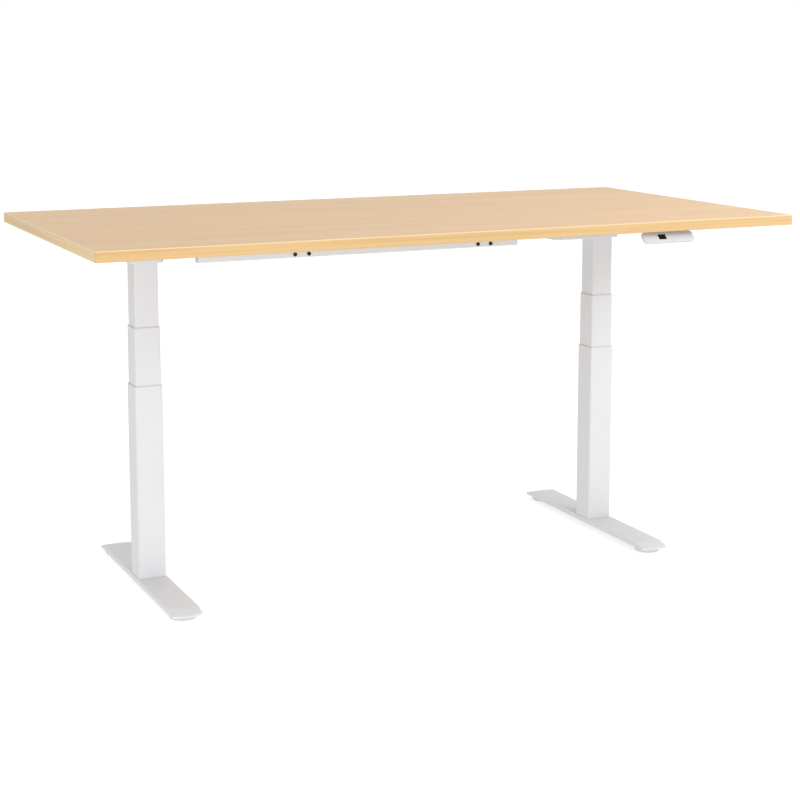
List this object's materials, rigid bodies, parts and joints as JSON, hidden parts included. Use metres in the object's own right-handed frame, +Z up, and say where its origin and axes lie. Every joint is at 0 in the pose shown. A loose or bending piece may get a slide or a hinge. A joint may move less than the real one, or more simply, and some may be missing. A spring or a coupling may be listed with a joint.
{
  "type": "height adjustable standing desk",
  "caption": "Rectangular wood-grain desktop on two telescoping square lifting columns with white front-to-back feet and a handset under the front edge.",
  "frame": {"origin": "on the floor, under the centre of the desktop", "axes": "+X to the user's right along the long side, +Y to the back, +Z up"},
  "size_m": [1.8, 0.9, 0.91],
  "materials": {
    "desktop_laminate": "light maple-coloured laminate, straight fine grain, satin",
    "edge_banding": "light maple-coloured edge band, warmer than the top, satin",
    "white_powder_coat": "white powder coat on steel, fine texture, satin",
    "black_screw": "black oxide socket screws",
    "zinc_steel": "zinc-plated screws",
    "cast_gearbox": "die-cast gearbox, matt",
    "motor_black": "black painted motor can",
    "turned_steel": "bright turned steel",
    "nut_brass": "machined brass nut",
    "bearing_block": "moulded bearing block",
    "guide_plastic": "light grey sliding plastic",
    "glide_plastic": "white moulded plastic",
    "control_box_black": "black, fine texture",
    "circuit_board": "green circuit board",
    "socket_plastic": "dark moulded sockets",
    "handset_white": "white moulded plastic, fine texture",
    "display_black": "glossy black display window",
    "key_film": "white touch film with pale marks"
  },
  "bodies": {
    "base": {"left_foot": "white_powder_coat", "right_foot": "white_powder_coat", "foot_bolts": "zinc_steel", "left_lower_tube": "white_powder_coat", "right_lower_tube": "white_powder_coat", "left_lower_guide": "guide_plastic", "right_lower_guide": "guide_plastic", "left_lead_screw": "turned_steel", "right_lead_screw": "turned_steel"},
    "left_middle": {"left_middle_tube": "white_powder_coat", "left_middle_guide": "guide_plastic", "left_nut_bearing": "bearing_block"},
    "right_middle": {"right_middle_tube": "white_powder_coat", "right_middle_guide": "guide_plastic", "right_nut_bearing": "bearing_block"},
    "left_screw": {"left_nut_tube": "turned_steel"},
    "right_screw": {"right_nut_tube": "turned_steel"},
    "left_drive": {"left_drive_tube": "turned_steel"},
    "right_drive": {"right_drive_tube": "turned_steel"},
    "cross_shaft": {"drive_shaft": "turned_steel"},
    "glide_left_front": {"left_front_glide": "glide_plastic"},
    "glide_left_rear": {"left_rear_glide": "glide_plastic"},
    "glide_right_front": {"right_front_glide": "glide_plastic"},
    "glide_right_rear": {"right_rear_glide": "glide_plastic"},
    "top": {"desktop_panel": "desktop_laminate", "front_edge_band": "edge_banding", "rear_edge_band": "edge_banding", "left_edge_band": "edge_banding", "right_edge_band": "edge_banding", "left_support_arm": "white_powder_coat", "right_support_arm": "white_powder_coat", "front_rail_sleeve": "white_powder_coat", "rear_rail_sleeve": "white_powder_coat", "left_front_rail": "white_powder_coat", "right_front_rail": "white_powder_coat", "left_rear_rail": "white_powder_coat", "right_rear_rail": "white_powder_coat", "rail_clamp_screws": "black_screw", "frame_bolts": "zinc_steel", "desktop_screws": "zinc_steel", "left_head_housing": "white_powder_coat", "right_head_housing": "white_powder_coat", "left_head_lid": "white_powder_coat", "right_head_lid": "white_powder_coat", "left_gearbox": "cast_gearbox", "right_gearbox": "cast_gearbox", "lift_motor": "motor_black", "left_upper_tube": "white_powder_coat", "right_upper_tube": "white_powder_coat", "left_lift_nut": "nut_brass", "right_lift_nut": "nut_brass", "control_box_plate": "control_box_black", "control_box_shell": "control_box_black", "control_board": "circuit_board", "control_sockets": "socket_plastic", "handset_bezel": "handset_white", "handset_housing": "handset_white", "handset_board": "circuit_board", "handset_window": "display_black", "handset_key_film": "key_film"}
  },
  "joints": [
    {"name": "lower_lift", "type": "slide", "parent": "base", "child": "left_middle", "axis": [0, 0, 1], "range_m": [-0.14, 0.18]},
    {"name": "right_lower_lift", "type": "slide", "parent": "base", "child": "right_middle", "axis": [0, 0, 1], "range_m": [-0.14, 0.18]},
    {"name": "upper_lift", "type": "slide", "parent": "left_middle", "child": "top", "axis": [0, 0, 1], "range_m": [-0.14, 0.18]},
    {"name": "left_screw_turn", "type": "hinge", "parent": "left_middle", "child": "left_screw", "pos_m": [-0.645, 0.075, 0.3], "axis": [0, 0, 1], "range_deg": [-6300.01, 8100.01]},
    {"name": "right_screw_turn", "type": "hinge", "parent": "right_middle", "child": "right_screw", "pos_m": [0.645, 0.075, 0.3], "axis": [0, 0, 1], "range_deg": [-6300.01, 8100.01]},
    {"name": "left_drive_turn", "type": "hinge", "parent": "top", "child": "left_drive", "pos_m": [-0.645, 0.075, 0.8], "axis": [0, 0, 1], "range_deg": [-6300.01, 8100.01]},
    {"name": "right_drive_turn", "type": "hinge", "parent": "top", "child": "right_drive", "pos_m": [0.645, 0.075, 0.8], "axis": [0, 0, 1], "range_deg": [-6300.01, 8100.01]},
    {"name": "shaft_turn", "type": "hinge", "parent": "top", "child": "cross_shaft", "pos_m": [0, 0.107, 0.843], "axis": [1, 0, 0], "range_deg": [-6300.01, 8100.01]},
    {"name": "left_front_glide_screw", "type": "slide", "parent": "base", "child": "glide_left_front", "axis": [0, 0, -1], "range_m": [0, 0.008]},
    {"name": "left_rear_glide_screw", "type": "slide", "parent": "base", "child": "glide_left_rear", "axis": [0, 0, -1], "range_m": [0, 0.008]},
    {"name": "right_front_glide_screw", "type": "slide", "parent": "base", "child": "glide_right_front", "axis": [0, 0, -1], "range_m": [0, 0.008]},
    {"name": "right_rear_glide_screw", "type": "slide", "parent": "base", "child": "glide_right_rear", "axis": [0, 0, -1], "range_m": [0, 0.008]}
  ],
  "couplings": [
    {"joint": "upper_lift", "follows": "lower_lift", "ratio": 1},
    {"joint": "right_lower_lift", "follows": "lower_lift", "ratio": 1},
    {"joint": "left_screw_turn", "follows": "lower_lift", "rad_per_m": 785.4},
    {"joint": "right_screw_turn", "follows": "lower_lift", "rad_per_m": 785.4},
    {"joint": "left_drive_turn", "follows": "lower_lift", "rad_per_m": 785.4},
    {"joint": "right_drive_turn", "follows": "lower_lift", "rad_per_m": 785.4},
    {"joint": "shaft_turn", "follows": "lower_lift", "rad_per_m": 785.4}
  ]
}
